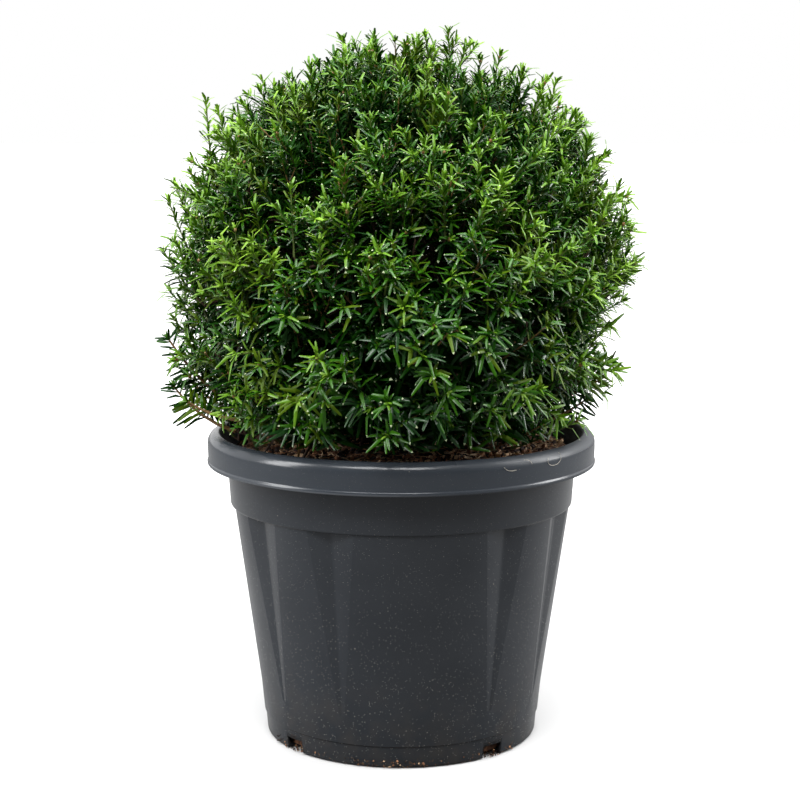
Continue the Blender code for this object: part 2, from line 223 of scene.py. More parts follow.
# radius, height and the size of the round on that corner, in millimetres: first the underside,
# the foot, the body, the band and the rim, then back down the inside
POT_OUTLINE = (
    (0.0, 0.0, 0), (98.7, 0.0, 1.6), (100.0, 15.0, 0.25), (100.9, 15.7, 0.35),
    (102.9, 36.0, 0), (122.3, 169.0, 0.5), (123.9, 169.5, 1.1), (126.0, 199.6, 0.8),
    (126.6, 212.4, 1.0), (136.9, 212.4, 1.0), (137.5, 199.5, 0.5), (140.3, 199.4, 0.7),
    (140.5, 201.4, 0.7), (139.7, 202.6, 0.6), (140.1, 210.5, 3.0), (139.8, 221.7, 6.9),
    (131.0, 221.5, 1.7), (126.0, 210.0, 2.0), (123.4, 199.0, 2.0), (121.4, 174.6, 1.0),
    (119.9, 172.0, 1.0), (100.5, 36.0, 0), (98.2, 16.0, 0.5), (96.6, 6.0, 1.5),
    (93.5, 3.0, 1.5), (0.0, 3.0, 0),
)
ROUND_STEPS = 3
LARGE_ROUND_STEPS = 8


def spun(outline, steps):
    """A closed solid turned from an outline that starts and ends on the axis. Its corners are
    rounded first, with a vertex bevel."""
    bm = bmesh.new()
    corners = [bm.verts.new((radius / 1000, 0, z / 1000)) for radius, z, _ in outline]
    for pair in zip(corners, corners[1:]):
        bm.edges.new(pair)
    for corner, (_, _, rounding) in zip(corners, outline):
        if rounding:
            bmesh.ops.bevel(
                bm, geom=[corner], affect="VERTICES", offset=rounding / 1000, profile=0.5,
                segments=LARGE_ROUND_STEPS if rounding > 3 else ROUND_STEPS, material=-1,
            )
    bmesh.ops.spin(
        bm, geom=bm.verts[:] + bm.edges[:], cent=(0, 0, 0), axis=(0, 0, 1), angle=math.tau,
        steps=steps, use_merge=True,
    )
    bmesh.ops.remove_doubles(bm, verts=bm.verts, dist=1e-6)
    bmesh.ops.recalc_face_normals(bm, faces=bm.faces)
    return bm


def body_radius(z):
    share = (z - BODY_FOOT) / (BODY_TOP - BODY_FOOT)
    return BODY_FOOT_RADIUS + share * (BODY_TOP_RADIUS - BODY_FOOT_RADIUS)


def flute_wall(bm):
    """Presses the flutes into the wall: columns close up round each one, and its two flat sides
    meet in a slightly rounded valley."""
    column = PITCH / STEPS_IN_PITCH
    half_place = STEPS_IN_PITCH // 2
    for v in bm.verts:
        radius, z = math.hypot(v.co.x, v.co.y), v.co.z
        on_wall = UNDERSIDE_RADIUS <= radius <= body_radius(z) + 0.0004
        if not on_wall or not PRESSED_FROM <= z <= PRESSED_TO:
            continue
        index = round(math.atan2(v.co.y, v.co.x) / column) + half_place
        place, step = divmod(index, STEPS_IN_PITCH)
        step -= half_place
        if place % PLACES in PLAIN_PLACES:
            continue
        share = min(1.0, max(0.0, (z - FLUTE_END) / (BODY_TOP - FLUTE_END)))
        half = FLUTE_HALF_END + share * (FLUTE_HALF_TOP - FLUTE_HALF_END)
        if abs(step) <= STEPS_IN_HALF_FLUTE:
            across = abs(step) / STEPS_IN_HALF_FLUTE
            angle = half * across
            deep = FLUTE_DEPTH * share
            sunk = deep * (1 - math.hypot(across, VALLEY_ROUND)) / (1 - VALLEY_ROUND)
            radius = min(radius, radius - sunk)
        else:
            beyond = (abs(step) - STEPS_IN_HALF_FLUTE) / (half_place - STEPS_IN_HALF_FLUTE)
            angle = half + beyond * (PITCH / 2 - half)
        angle = place * PITCH + math.copysign(angle, step)
        v.co.x = radius * math.cos(angle)
        v.co.y = radius * math.sin(angle)


def mixed(tree, factor, first, second):
    """A colour mix. Each colour is a socket or three numbers, and factor is a socket."""
    mix = add_node(tree, "Mix", data_type="RGBA")
    wire(tree, mix, {"Factor": factor, 6: first, 7: second})
    return mix.outputs[2]


def noise_on(tree, place, scale, detail=3.0):
    inputs = {"Vector": place, "Scale": scale, "Detail": detail}
    return add_node(tree, "TexNoise", inputs).outputs["Fac"]


def specks_on(tree, place, scale, size, rarity):
    """Scattered round specks: some cells of a Voronoi pattern get a dot at their point."""
    cells = add_node(tree, "TexVoronoi", {"Vector": place, "Scale": scale})
    chosen = add_node(tree, "SeparateColor", {0: cells.outputs["Color"]}).outputs[0]
    dot = ranged(tree, cells.outputs["Distance"], size, size * 0.6)
    return product(tree, dot, ranged(tree, chosen, rarity, rarity + 0.01))


def rim_zone(tree, place, start, full):
    """0 to 1 between two distances from the pot's axis."""
    level = add_node(tree, "Mapping", {"Vector": place, "Scale": (1, 1, 0)}).outputs[0]
    out = add_node(tree, "VectorMath", {0: level}, operation="LENGTH").outputs["Value"]
    return ranged(tree, out, start, full)


def raise_by(tree, shader, pattern, distance, strength=1.0):
    """Fine relief, too small for the mesh."""
    inputs = {"Height": pattern, "Distance": distance, "Strength": strength}
    wire(tree, shader, {"Normal": add_node(tree, "Bump", inputs).outputs[0]})


def plastic_finish():
    """Charcoal plastic, mottled and specked. The rim is painted a shade lighter, as painted light,
    and a pale line on the rim's foot at the left is a painted highlight; that band is rough all
    round. It is dusty on the rim's top at the right, soiled low down and crusted at the foot,
    and on the inside wall near the top it is painted near black as painted shade, and made rough."""
    made, tree, shader = new_material("charcoal_plastic")
    place = add_node(tree, "TexCoord").outputs["Object"]
    along_x, _, up = add_node(tree, "SeparateXYZ", {0: place}).outputs

    mottle = ranged(tree, noise_on(tree, place, 22), 0.35, 0.70)
    colour = mixed(tree, mottle, (0.0280, 0.0320, 0.0385), (0.0350, 0.0395, 0.0465))
    # painted light: the rim is the same plastic as the body, painted a shade lighter and bluer
    # where more light falls on it
    rim = ranged(tree, up, 0.1985, 0.2010)
    colour = mixed(tree, rim, colour, (0.0380, 0.0450, 0.0550))

    # painted highlight: a pale line along the rim's foot, strongest at the left, where the edge
    # catches the light; the same band is made rough all round
    lip = ranged(tree, up, 0.2012, 0.2002)
    lip = product(tree, rim_zone(tree, place, 0.1375, 0.1380), lip)
    lip = product(tree, lip, ranged(tree, up, 0.1970, 0.1975))
    left = ranged(tree, along_x, 0.040, -0.010, 0.0, 0.22)
    colour = mixed(tree, product(tree, lip, left), colour, (0.30, 0.32, 0.35))

    patches = ranged(tree, noise_on(tree, place, 60, 6.0), 0.42, 0.75)
    dirt = product(tree, ranged(tree, up, 0.070, 0.0, 0.0, 0.40), patches)
    colour = mixed(tree, dirt, colour, (0.095, 0.080, 0.064))
    crust = ranged(tree, noise_on(tree, place, 330, 5.0), 0.60, 0.66)
    foot = product(tree, ranged(tree, up, 0.0075, 0.0020), crust)
    colour = mixed(tree, foot, colour, (0.150, 0.085, 0.045))

    fade = ranged(tree, up, 0.200, 0.020, 0.12, 1.00)
    for scale, size, rarity, tint in (
        (1000, 0.17, 0.75, (0.750, 0.730, 0.670)),
        (560, 0.13, 0.86, (0.850, 0.800, 0.700)),
    ):
        specks = product(tree, specks_on(tree, place, scale, size, rarity), fade)
        colour = mixed(tree, specks, colour, tint)
    grit = specks_on(tree, place, 190, 0.07, 0.95)
    colour = mixed(tree, grit, colour, (0.36, 0.33, 0.29))

    # painted shade: the inner wall near the rim is painted near black, where the foliage shades
    # it, and made rough there
    inner = rim_zone(tree, place, 0.1325, 0.1305)
    painted_shade_inside = product(tree, inner, ranged(tree, up, 0.2004, 0.2006))
    colour = mixed(tree, painted_shade_inside, colour, (0.0070, 0.0068, 0.0065))

    rough = ranged(tree, noise_on(tree, place, 30, 2.0), 0.3, 0.7, 0.17, 0.22)
    right = ranged(tree, along_x, 0.020, 0.080, 0.0, 0.9)
    dust = product(tree, right, ranged(tree, up, 0.2150, 0.2190))
    for zone, roughness in ((dust, 0.52), (lip, 0.55), (painted_shade_inside, 0.90)):
        rough = mixed(tree, zone, rough, (roughness, roughness, roughness))
    wire(tree, shader, {"Base Color": colour, "Roughness": rough, "Specular IOR Level": 0.5})
    raise_by(tree, shader, noise_on(tree, place, 900, 2.0), 0.0004, strength=0.10)
    return made


charcoal_plastic = plastic_finish()
shell = spun(POT_OUTLINE, PLACES * STEPS_IN_PITCH)
flute_wall(shell)
bmesh.ops.rotate(shell, verts=shell.verts, matrix=Matrix.Rotation(POT_TURN, 3, "Z"))
container = piece_from(shell, "container", charcoal_plastic, sharp=32)

# the notches are cut out with blocks, whose rounded upper edges round a notch's upper corners
notches = bmesh.new()
for turn in NOTCH_TURNS:
    block = bmesh.ops.create_cube(notches)["verts"]
    bmesh.ops.scale(notches, vec=NOTCH_BLOCK, verts=block)
    bmesh.ops.translate(notches, vec=(NOTCH_OUT, 0, 0), verts=block)
    bmesh.ops.rotate(notches, verts=block, matrix=Matrix.Rotation(turn + POT_TURN, 3, "Z"))
half_block = NOTCH_BLOCK[2] / 2
level = [e for e in notches.edges if abs(e.verts[0].co.z + e.verts[1].co.z) > half_block]
bmesh.ops.bevel(
    notches, geom=level, affect="EDGES", offset=NOTCH_ROUND, segments=3, profile=0.5, material=-1
)
notch_cutter = piece_from(notches, "notch_cutter", charcoal_plastic)
cut = container.modifiers.new("notches", "BOOLEAN")
cut.operation = "DIFFERENCE"
cut.object = notch_cutter
bpy.context.view_layer.update()
evaluated = container.evaluated_get(bpy.context.evaluated_depsgraph_get())
pierced = bpy.data.meshes.new_from_object(evaluated)
container.modifiers.remove(cut)
container.data = pierced
bpy.data.objects.remove(notch_cutter)

# and the valleys and edges of the flutes stay crisp
creases = bmesh.new()
creases.from_mesh(container.data)
for edge in creases.edges:
    low, high = sorted(v.co.z for v in edge.verts)
    on_flutes = low > FLUTE_END - 0.001 and high < BODY_TOP + 0.001
    if on_flutes and edge.is_manifold and edge.calc_face_angle() > math.radians(4):
        edge.smooth = False
creases.to_mesh(container.data)
creases.free()
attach(container, "root")
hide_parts("pot")


# The compost is composted bark and coir. Its top is loose and crumbly, with chips of bark, pale
# fibres and darker hollows, and it lies a finger's width under the rim.
SOIL_LEVEL = 0.2087
SOIL_RINGS = 46
SOIL_EDGE = 0.1240
SWELL_HEIGHT = 0.0022
CRUMB_HEIGHT = 0.0030
HOLLOW_X = -0.001
HOLLOW_Y = -0.098
HOLLOW_WIDTH = 0.010
HOLLOW_DEPTH = 0.007
EDGE_DROP = 0.0030
EDGE_DROP_FROM = 0.93


def soil_height(x, y):
    """The lie of the compost: low swells, crumbs, a hollow near the front, and an edge that
    drops a little where it meets the wall."""
    place = Vector((x, y, 0))
    swell = SWELL_HEIGHT * noise.noise(place * 28)
    crumbs = CRUMB_HEIGHT * abs(noise.fractal(place * 150, 0.9, 2.1, 4))
    from_hollow = (x - HOLLOW_X) ** 2 + (y - HOLLOW_Y) ** 2
    hollow = HOLLOW_DEPTH * math.exp(-from_hollow / HOLLOW_WIDTH**2)
    wall = EDGE_DROP * max(0.0, math.hypot(x, y) / SOIL_EDGE - EDGE_DROP_FROM) / 0.07
    return SOIL_LEVEL + swell + crumbs - hollow - wall


rings = [SOIL_EDGE * 1000 * i / SOIL_RINGS for i in range(SOIL_RINGS + 1)]
compost_outline = [(radius, SOIL_LEVEL * 1000, 0) for radius in rings]
compost_outline += [(119.5, 196, 0), (114.5, 165, 0), (95.2, 16, 0), (94.0, 3.3, 0), (0, 3.3, 0)]
bed = spun(compost_outline, 200)
for v in bed.verts:
    if v.co.z > 0.2:
        v.co.z = soil_height(v.co.x, v.co.y)


def compost_finish():
    """Brown crumbs with wet black hollows between them."""
    made, tree, shader = new_material("moist_compost")
    place = add_node(tree, "TexCoord").outputs["Object"]
    crumb = ranged(tree, noise_on(tree, place, 260, 6.0), 0.38, 0.66)
    colour = mixed(tree, crumb, (0.014, 0.006, 0.003), (0.170, 0.075, 0.036))
    wire(tree, shader, {"Base Color": colour, "Roughness": 0.95})
    raise_by(tree, shader, noise_on(tree, place, 520, 5.0), 0.0015)
    return made


def plain_finish(name, colour, roughness, shine=0.5):
    """A finish of one colour: its variety comes from dealing several of them out to the chips,
    shoots and needles, each of which takes its own."""
    made, tree, shader = new_material(name)
    wire(tree, shader, {"Base Color": colour, "Roughness": roughness, "Specular IOR Level": shine})
    return made


compost_top = piece_from(bed, "compost_bed", compost_finish())
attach(compost_top, "root")
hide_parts("soil")


def taken_from(bm):
    """The points and faces of a small shape, as arrays that joined_copies can repeat."""
    bm.verts.index_update()
    points = np.array([v.co for v in bm.verts])
    faces = [[v.index for v in face.verts] for face in bm.faces]
    bm.free()
    return points, faces


def joined_copies(name, batches, finishes, sharp=50):
    """One piece of many copies. A batch holds the points of its copies, the faces they share
    and which finish each copy takes, or each face of each copy."""
    places, corners, starts, slots = [], [], [], []
    points_before = corners_before = 0
    for points, faces, finish in batches:
        copies, each = points.shape[:2]
        around = np.array([i for face in faces for i in face])
        begins = np.cumsum([0] + [len(face) for face in faces])[:-1]
        copy = np.arange(copies)[:, None]
        places.append(points.reshape(-1, 3))
        corners.append((points_before + each * copy + around[None]).ravel())
        starts.append((corners_before + len(around) * copy + begins[None]).ravel())
        slots.append((finish if finish.ndim > 1 else np.repeat(finish, len(faces))).ravel())
        points_before += copies * each
        corners_before += copies * len(around)
    mesh = bpy.data.meshes.new(name)
    mesh.vertices.add(points_before)
    mesh.vertices.foreach_set("co", np.concatenate(places).astype(np.float32).ravel())
    mesh.loops.add(corners_before)
    mesh.loops.foreach_set("vertex_index", np.concatenate(corners).astype(np.int32))
    starts = np.concatenate(starts).astype(np.int32)
    mesh.polygons.add(len(starts))
    mesh.polygons.foreach_set("loop_start", starts)
    mesh.polygons.foreach_set("material_index", np.concatenate(slots).astype(np.int32))
    for finish in finishes:
        mesh.materials.append(finish)
    mesh.update(calc_edges=True)
    mesh.validate()
    return smooth_piece(name, mesh, sharp)


def unit(rows):
    return rows / np.maximum(np.linalg.norm(rows, axis=-1, keepdims=True), 1e-9)


def laid_along(points, curves, tops, widths):
    """Copies of a shape whose length runs from y 0 to 1, each bent along its own curve of three
    points, with z turned towards its top, and x and z scaled by its width and thickness."""
    t = points[None, :, 1, None]
    a, b, c = (curves[:, None, i] for i in range(3))
    centre = (1 - t) ** 2 * a + 2 * t * (1 - t) * b + t**2 * c
    along = unit((1 - t) * (b - a) + t * (c - b) + 1e-9)
    side = unit(np.cross(along, tops[:, None]))
    top = np.cross(side, along)
    x = points[None, :, 0, None] * widths[:, None, 0, None]
    z = points[None, :, 2, None] * widths[:, None, 1, None]
    return centre + side * x + top * z


def next_disc(bm, cap, first):
    """The disc at a limb's end, extruded once more. The first of them stays, as its foot."""
    grown = bmesh.ops.extrude_face_region(bm, geom=[cap], use_keep_orig=first)["geom"]
    return next(g for g in grown if isinstance(g, bmesh.types.BMFace))


def strand(sides, rings, girth):
    """A closed limb one unit long: a disc extruded ring by ring along y. girth gives the
    radius at each share of the length."""
    bm = bmesh.new()
    facing = Matrix.Rotation(math.radians(-90), 3, "X")
    bmesh.ops.create_circle(bm, cap_ends=True, radius=1, segments=sides)
    bmesh.ops.rotate(bm, verts=bm.verts, matrix=facing)
    bm.faces.ensure_lookup_table()
    cap = bm.faces[0]
    first = girth(0.0)
    bmesh.ops.scale(bm, vec=(first, 1, first), verts=cap.verts)
    for i in range(1, rings):
        share, before = i / (rings - 1), (i - 1) / (rings - 1)
        cap = next_disc(bm, cap, i == 1)
        bmesh.ops.translate(bm, vec=(0, share - before, 0), verts=cap.verts)
        change = girth(share) / girth(before)
        bmesh.ops.scale(bm, vec=(change, 1, change), verts=cap.verts)
    bmesh.ops.recalc_face_normals(bm, faces=bm.faces)
    return taken_from(bm)


# how far out the litter lies, and where it clings to the foot of the pot and to its rim
LITTER_REACH = 0.1225
SMALL_CHIPS_FROM = 0.116
FIBRE_REACH = 0.119
FIBRE_EDGE = 0.1215
FOOT_EDGE = 0.0992
NOTCH_INSIDE = 0.0900
RIM_FACE = 0.1402


def bark_chip(chance):
    """An angular flake: a ball of twenty faces, pushed about and pressed flat."""
    bm = bmesh.new()
    bmesh.ops.create_icosphere(bm, subdivisions=1, radius=0.5)
    for v in bm.verts:
        v.co *= chance.uniform(0.65, 1.25)
    bmesh.ops.scale(bm, vec=(1.0, 0.62, 0.45), verts=bm.verts)
    return taken_from(bm)


def tumbled(chance, points, place):
    """A small shape's points, turned any way and put in their place."""
    spin = Quaternion([chance.gauss(0, 1) for _ in range(4)]).normalized().to_matrix()
    return points @ np.array(spin).T + np.array(place)


def strewn_spot(chance, farthest):
    """Somewhere on the compost: its distance from the axis, and its x and y."""
    out, turn = farthest * math.sqrt(chance.random()), chance.uniform(0, math.tau)
    return out, out * math.cos(turn), out * math.sin(turn)


def scattered_chips(chance, count):
    """Batches of chips, on the compost and half sunk in it, smaller ones far more often."""
    batches = []
    for _ in range(6):
        points, faces = bark_chip(chance)
        copies, finishes = [], []
        for _ in range(count // 6):
            out, x, y = strewn_spot(chance, LITTER_REACH)
            size = 0.0017 + 0.0056 * chance.random() ** 2.6
            if out > SMALL_CHIPS_FROM:
                size *= 0.6
            place = Vector((x, y, soil_height(x, y) + size * 0.12))
            copies.append(tumbled(chance, points * size, place))
            finishes.append(chance.choices(range(4), (4, 4, 3, 1.8))[0])
        batches.append((np.array(copies), faces, np.array(finishes)))
    return batches


def foot_crumbs(chance):
    """Crumbs that cling to the foot of the pot, by its notches and at the front, and more that
    have trickled into the notches. Those are mostly dark ones: compost, and painted shade of
    the notches as well."""
    points, faces = bark_chip(chance)
    spots = [(math.radians(-90), 0.22, FOOT_EDGE, 40)]
    for turn in NOTCH_TURNS:
        spots.append((turn + POT_TURN, 0.16, FOOT_EDGE, 16))
        spots.append((turn + POT_TURN, 0.04, NOTCH_INSIDE, 34))
    copies, finishes = [], []
    for middle, spread, nearest, count in spots:
        for _ in range(count):
            size = 0.0009 + 0.0022 * chance.random() ** 2
            turn, z = chance.gauss(middle, spread), 0.5 * size
            out, weights = FOOT_EDGE + 0.3 * size, (3, 3, 3, 2)
            # in the notches mostly dark wet chips: real crumbs that also stand in for the notch's
            # shade, as painted shade
            if nearest == NOTCH_INSIDE:
                turn = min(max(turn, middle - 0.075), middle + 0.075)
                out, weights = chance.uniform(nearest, out), (6, 3, 1, 0.3)
            else:
                z += 0.0045 * chance.random() ** 2
            place = (out * math.cos(turn), out * math.sin(turn), z)
            copies.append(tumbled(chance, points * size, place))
            finishes.append(chance.choices(range(4), weights)[0])
    return [(np.array(copies), faces, np.array(finishes))]


def rim_fibres():
    """Thin coir hairs that lie on the rim, one of them curled. Each place is a turn round the
    axis in degrees and a height in millimetres."""
    points, faces = strand(4, 5, lambda share: 1.0)
    curl = (
        (-40.6, 220.6), (-38.4, 218.0), (-39.6, 214.6), (-41.0, 211.4), (-43.6, 212.6),
        (-45.8, 214.0), (-45.0, 218.6),
    )
    arcs = [curl[i : i + 3] for i in (0, 2, 4)]
    arcs.append(((-61.0, 216.0), (-59.6, 212.0), (-57.0, 213.4)))
    arcs.append(((-54.4, 219.6), (-52.0, 219.4), (-51.4, 216.0)))
    curves = []
    for arc in arcs:
        turns = [(math.radians(turn), z / 1000) for turn, z in arc]
        curves.append([(RIM_FACE * math.cos(a), RIM_FACE * math.sin(a), z) for a, z in turns])
    tops = np.tile((0.6, -0.8, 0.1), (len(curves), 1))
    widths = np.full((len(curves), 2), 0.00015)
    return [(laid_along(points, np.array(curves), tops, widths), faces, np.full(len(curves), 5))]


def strewn_fibres(chance, count):
    """Bowed hairs that lie on the compost, lifted a little in the middle."""
    points, faces = strand(4, 5, lambda share: 1.0 - 0.5 * abs(2 * share - 1))
    curves, widths, finishes = [], [], []
    for _ in range(count):
        _, x, y = strewn_spot(chance, FIBRE_REACH)
        course = chance.uniform(0, math.tau)
        length = 0.004 + 0.014 * chance.random() ** 2
        bow = chance.uniform(-0.3, 0.3)
        curve = []
        for share, lift in ((0, 0.0002), (0.5, 0.0022), (1, 0.0004)):
            onward = length * share
            side = length * bow * (1 - abs(2 * share - 1))
            px = x + onward * math.cos(course) - side * math.sin(course)
            py = y + onward * math.sin(course) + side * math.cos(course)
            out = math.hypot(px, py)
            if out > FIBRE_EDGE:
                px, py = px * FIBRE_EDGE / out, py * FIBRE_EDGE / out
            curve.append((px, py, soil_height(px, py) + lift * chance.uniform(0.6, 1.5)))
        curves.append(curve)
        widths.append([0.00022 + 0.00035 * chance.random()] * 2)
        finishes.append(chance.choices(range(2, 5), (2, 3, 3))[0])
    tops = np.tile((0.03, 0.02, 1.0), (count, 1))
    placed = laid_along(points, np.array(curves), tops, np.array(widths))
    return [(placed, faces, np.array(finishes))]


litter_chance = random.Random(41)
litter_finishes = [
    plain_finish("wet_bark_chip", (0.024, 0.010, 0.005), 0.8),
    plain_finish("brown_bark_chip", (0.160, 0.070, 0.032), 0.85),
    plain_finish("red_bark_chip", (0.400, 0.195, 0.098), 0.85),
    plain_finish("pale_coir", (0.66, 0.44, 0.26), 0.8),
    plain_finish("straw_fibre", (0.68, 0.50, 0.32), 0.75),
    plain_finish("dry_hair", (0.64, 0.60, 0.52), 0.7),
]
litter = joined_copies(
    "compost_litter",
    scattered_chips(litter_chance, 3300)
    + strewn_fibres(litter_chance, 900)
    + foot_crumbs(litter_chance)
    + rim_fibres(),
    litter_finishes,
    sharp=25,
)
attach(litter, "root")


# The trunk is a short stem that carries on as the leader, with a low root flare. Its bark is
# thin and red-brown and comes away in flakes. The boughs leave it one by one on the way up.
UP = Vector((0, 0, 1))
GAP = 0.0003
CROWN_CENTRE = Vector((0, 0, 0.350))
INNER_FACE = 0.062
STEM_SOCKET = 0.007
GATE_DROP = {"crown": 0.0, "upper": 0.010, "lower": 0.028}
MASS_STEM_RADIUS = 0.0028
FORK_DEPTH = 0.074
FORK_DROP = 0.009
STEM_FOOT = SOIL_LEVEL + GAP
STEM_FOOT_RADIUS = 0.0165
STEM_RADIUS = 0.0115
STEM_TIP_RADIUS = 0.0042
STEM_SWAY = 0.0035
FLARE_HEIGHT = 0.016
ROOT_LOBES = 5
BOUGH_FOOT_RADIUS = 0.0046
BOUGH_END = 0.014
BOUGH_SAG = 0.002
LOWER_BOUGH_FOOT = 0.230
LOWER_BOUGH_STEP = 0.0072
UPPER_BOUGH_FOOT = 0.296
UPPER_BOUGH_STEP = 0.0085
UPPER_RING = 5
UPPER_ELEVATION = math.radians(31)
UPPER_START = math.radians(-68)
LOWER_RING = 6
LOWER_ELEVATION = math.radians(-21)
LOWER_START = math.radians(-66)
TRUNK_FLAKES = 0.0006
BOUGH_FLAKES = 0.0004


def heading(azimuth, elevation):
    level = math.cos(elevation)
    return Vector((level * math.cos(azimuth), level * math.sin(azimuth), math.sin(elevation)))


def mass_headings():
    """{mass's name: the direction of its middle from the crown's centre}"""
    found = {"crown_top": UP.copy()}
    for i in range(UPPER_RING):
        azimuth = UPPER_START + i * math.tau / UPPER_RING
        found[f"upper_mass_{i + 1}"] = heading(azimuth, UPPER_ELEVATION)
    for i in range(LOWER_RING):
        azimuth = LOWER_START + i * math.tau / LOWER_RING
        found[f"lower_mass_{i + 1}"] = heading(azimuth, LOWER_ELEVATION)
    return found


def gate(name, direction):
    """Where a bough hands over to the stem of its mass."""
    down = direction * direction.z - UP
    drop = down.normalized() * GATE_DROP[name.split("_")[0]] if down.length > 1e-6 else down
    return CROWN_CENTRE + direction * (INNER_FACE - STEM_SOCKET) + drop


def fork(direction):
    """Where the stem of a mass divides."""
    level = math.hypot(direction.x, direction.y)
    return CROWN_CENTRE + direction * FORK_DEPTH - UP * FORK_DROP * level


LEADER_TOP = gate("crown_top", UP).z


def stem_point(z):
    share = (z - STEM_FOOT) / (LEADER_TOP - STEM_FOOT)
    sway = STEM_SWAY * math.sin(math.pi * share)
    return Vector((sway * math.cos(4 * share), sway * math.sin(4 * share), z))


def stem_radius(z):
    share = (z - STEM_FOOT) / (LEADER_TOP - STEM_FOOT)
    flare = max(0.0, 1 - (z - STEM_FOOT) / FLARE_HEIGHT) ** 2
    straight = STEM_RADIUS + share * (STEM_TIP_RADIUS - STEM_RADIUS)
    return straight + flare * (STEM_FOOT_RADIUS - STEM_RADIUS)


def limb_along(path, radii, sides, relief):
    """A limb with flaking bark: a disc extruded from point to point of its path, whose skin is
    then raised and sunk by up to relief."""
    bm = bmesh.new()
    bmesh.ops.create_circle(bm, cap_ends=True, radius=1, segments=sides)
    bm.faces.ensure_lookup_table()
    cap, last = bm.faces[0], len(path) - 1
    before, turn = UP, Quaternion()
    for i, (centre, radius) in enumerate(zip(path, radii)):
        ahead = path[min(i + 1, last)] - path[max(i - 1, 0)]
        turn = before.rotation_difference(ahead) @ turn
        before = ahead
        if i:
            cap = next_disc(bm, cap, i == 1)
        for j, corner in enumerate(cap.verts):
            angle = j * math.tau / sides
            out = turn @ Vector((math.cos(angle), math.sin(angle), 0))
            place = centre + out * radius
            grain = Vector((place.x * 260, place.y * 260, place.z * 60))
            corner.co = place + out * relief * noise.fractal(grain, 0.8, 2.0, 3)
    bmesh.ops.recalc_face_normals(bm, faces=bm.faces)
    return bm


def bark_finish():
    """Dark bark with red-brown flakes, drawn out along the trunk."""
    made, tree, shader = new_material("flaking_bark")
    place = add_node(tree, "TexCoord").outputs["Object"]
    drawn_out = add_node(tree, "Mapping", {"Vector": place, "Scale": (1.0, 1.0, 0.25)}).outputs[0]
    flakes = ranged(tree, noise_on(tree, drawn_out, 420, 5.0), 0.4, 0.62)
    colour = mixed(tree, flakes, (0.055, 0.022, 0.012), (0.190, 0.095, 0.055))
    wire(tree, shader, {"Base Color": colour, "Roughness": 0.85})
    raise_by(tree, shader, flakes, 0.0008)
    return made


flaking_bark = bark_finish()
headings = mass_headings()
heights = [STEM_FOOT + FLARE_HEIGHT * i / 8 for i in range(8)]
above_flare = LEADER_TOP - STEM_FOOT - FLARE_HEIGHT
heights += [STEM_FOOT + FLARE_HEIGHT + above_flare * i / 48 for i in range(49)]
trunk_path = [stem_point(z) for z in heights]
trunk_path[0] = Vector((0, 0, STEM_FOOT))
trunk = limb_along(trunk_path, [stem_radius(z) for z in heights], 28, TRUNK_FLAKES)
for v in trunk.verts:
    low = max(0.0, 1 - (v.co.z - STEM_FOOT) / FLARE_HEIGHT)
    lobe = 1 + 0.13 * low * math.cos(ROOT_LOBES * math.atan2(v.co.y, v.co.x))
    v.co.x *= lobe
    v.co.y *= lobe
    if low > 0.98:
        v.co.z = STEM_FOOT - 0.002
trunk_piece = piece_from(trunk, "trunk", flaking_bark)
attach(trunk_piece, "root")
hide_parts("stem")


def bough_foot(name):
    ring, number = name.rsplit("_mass_", 1)
    place = int(number) - 1
    if ring == "lower":
        slot = (place * 2 + place // 3) % LOWER_RING
        return stem_point(LOWER_BOUGH_FOOT + LOWER_BOUGH_STEP * slot)
    slot = place * 2 % UPPER_RING
    return stem_point(UPPER_BOUGH_FOOT + UPPER_BOUGH_STEP * slot)


def smooth_path(points, steps):
    """A path eased through its points: each corner becomes a curve."""
    path = [points[0]]
    middles = [points[0]] + [a.lerp(b, 0.5) for a, b in zip(points[1:-2], points[2:-1])]
    middles += [points[-1]]
    for start, corner, end in zip(middles, points[1:-1], middles[1:]):
        for i in range(1, steps + 1):
            t = i / steps
            path.append(start.lerp(corner, t).lerp(corner.lerp(end, t), t))
    return path


for name, direction in headings.items():
    if name == "crown_top":
        continue
    tip = gate(name, direction)
    foot = bough_foot(name)
    foot += (tip - foot).normalized() * 0.4 * BOUGH_FOOT_RADIUS
    onward = (fork(direction) - tip).normalized()
    before = tip - onward * BOUGH_END
    middle = foot.lerp(before, 0.5) - UP * BOUGH_SAG
    path = smooth_path([foot, middle, before, tip + onward * GAP], 9)
    slim = (BOUGH_FOOT_RADIUS - MASS_STEM_RADIUS) / (len(path) - 1)
    radii = [BOUGH_FOOT_RADIUS - slim * i for i in range(len(path))]
    bough = limb_along(path, radii, 14, BOUGH_FLAKES)
    bough_piece = piece_from(bough, name.replace("mass", "bough") + "_bark", flaking_bark)
    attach(bough_piece, "root")
    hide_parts(name.replace("mass", "bough"))


# The foliage is a mass of short leafy shoots on fine twigs. A mass's stem forks, its main
# shoots grow out by the source's rule, and finer twigs fill the room between them.
CROWN_RADIUS = 0.160
CROWN_RISE = 0.150
CROWN_DROP = 0.155
UPPER_SQUARENESS = 1.9
LOWER_SQUARENESS = 2.9
CROWN_FLOOR = SOIL_LEVEL + 0.0085
MASS_GAP = 0.0014
RIM_CLEARANCE = 0.0075
TRUNK_ROOM = 0.034
SHOOTS = 150
SHOOT_LENGTH = 0.050
SHOOT_RADIUS = 0.0026
SHOOT_SEED = 7
GOLDEN_TURN = math.radians(137.5)
EVEN_TURN = math.pi * (3 - math.sqrt(5))
SPRAYS = 170
SPRAY_REACH = 0.16
SPRAY_PULL = 0.22
SPRAY_DOME = 0.035
TOP_SLACK = 0.055
RIGHT_SLACK = 0.16


